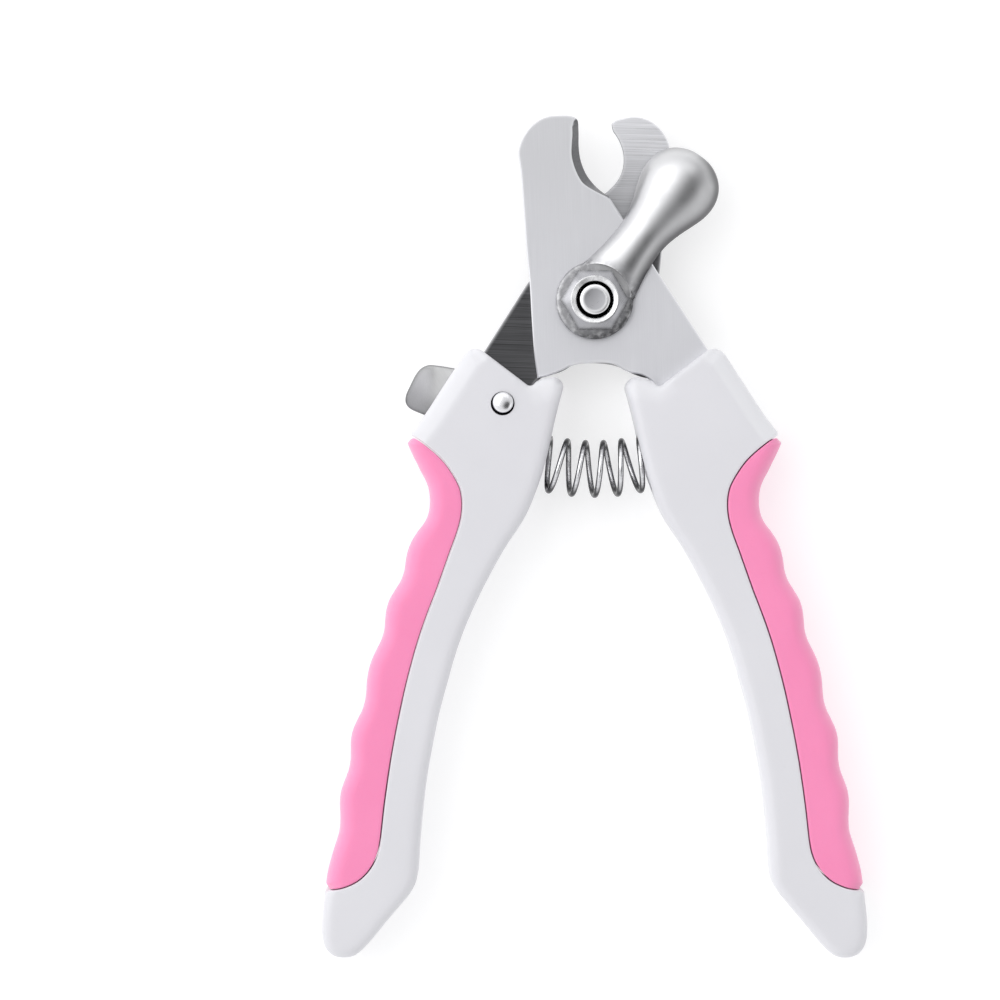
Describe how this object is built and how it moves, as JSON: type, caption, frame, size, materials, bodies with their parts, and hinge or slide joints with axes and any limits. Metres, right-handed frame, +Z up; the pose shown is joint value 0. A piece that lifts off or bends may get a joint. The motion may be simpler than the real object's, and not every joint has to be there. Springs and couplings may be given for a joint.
{
  "type": "scissor nail clipper",
  "caption": "Plier-type nail clipper for dogs: crossed steel jaws on a pivot bolt, white handles with soft scalloped grips, return spring, swinging nail guard and thumb latch.",
  "frame": {"origin": "on the table under the middle of the overall length and width, the clipper lying on its back", "axes": "+Y toward the jaws, along the line the two handles mirror about, +Z up out of the front face, +X toward the guard's side"},
  "size_m": [0.097, 0.1498, 0.0164],
  "materials": {
    "steel_front": "satin, fine grain",
    "steel_rear": "brushed across",
    "bolt_steel": "plain steel",
    "washer_steel": "plain steel",
    "nut_steel": "bright plated",
    "guard_steel": "bright satin plating",
    "lever_steel": "satin grey",
    "rivet_steel": "bright domed",
    "pin_steel": "ground",
    "spring_steel": "bright spring wire",
    "handle_white": "satin moulded white",
    "grip_pink": "soft matt pink"
  },
  "bodies": {
    "left_arm": {"left_handle": "handle_white", "left_grip": "grip_pink", "rear_blade": "steel_rear", "pivot_bolt": "bolt_steel", "back_washer": "washer_steel", "blade_washer": "washer_steel", "guard_wave_washer": "washer_steel", "pivot_nut": "nut_steel", "latch_rivet": "rivet_steel", "latch_spring_washer": "washer_steel", "return_spring": "spring_steel"},
    "right_arm": {"front_blade": "steel_front", "right_handle": "handle_white", "right_grip": "grip_pink", "latch_catch_pin": "pin_steel"},
    "guard": {"quick_guard": "guard_steel"},
    "latch": {"latch_lever": "lever_steel"}
  },
  "joints": [
    {"name": "squeeze", "type": "hinge", "parent": "left_arm", "child": "right_arm", "pos_m": [0, 0.04194, 0.0085], "axis": [0, 0, -1], "range_deg": [0, 22], "stiffness_Nm_per_rad": 0.6, "springref_deg": -8.59, "deforming": ["return_spring"]},
    {"name": "guard_swing", "type": "hinge", "parent": "left_arm", "child": "guard", "pos_m": [0, 0.04194, 0.0114], "axis": [0, 0, 1], "range_deg": [-51, 124]},
    {"name": "latch_turn", "type": "hinge", "parent": "left_arm", "child": "latch", "pos_m": [-0.01629, 0.02373, 0.0026], "axis": [0, 0, -1], "range_deg": [0, 21]}
  ]
}
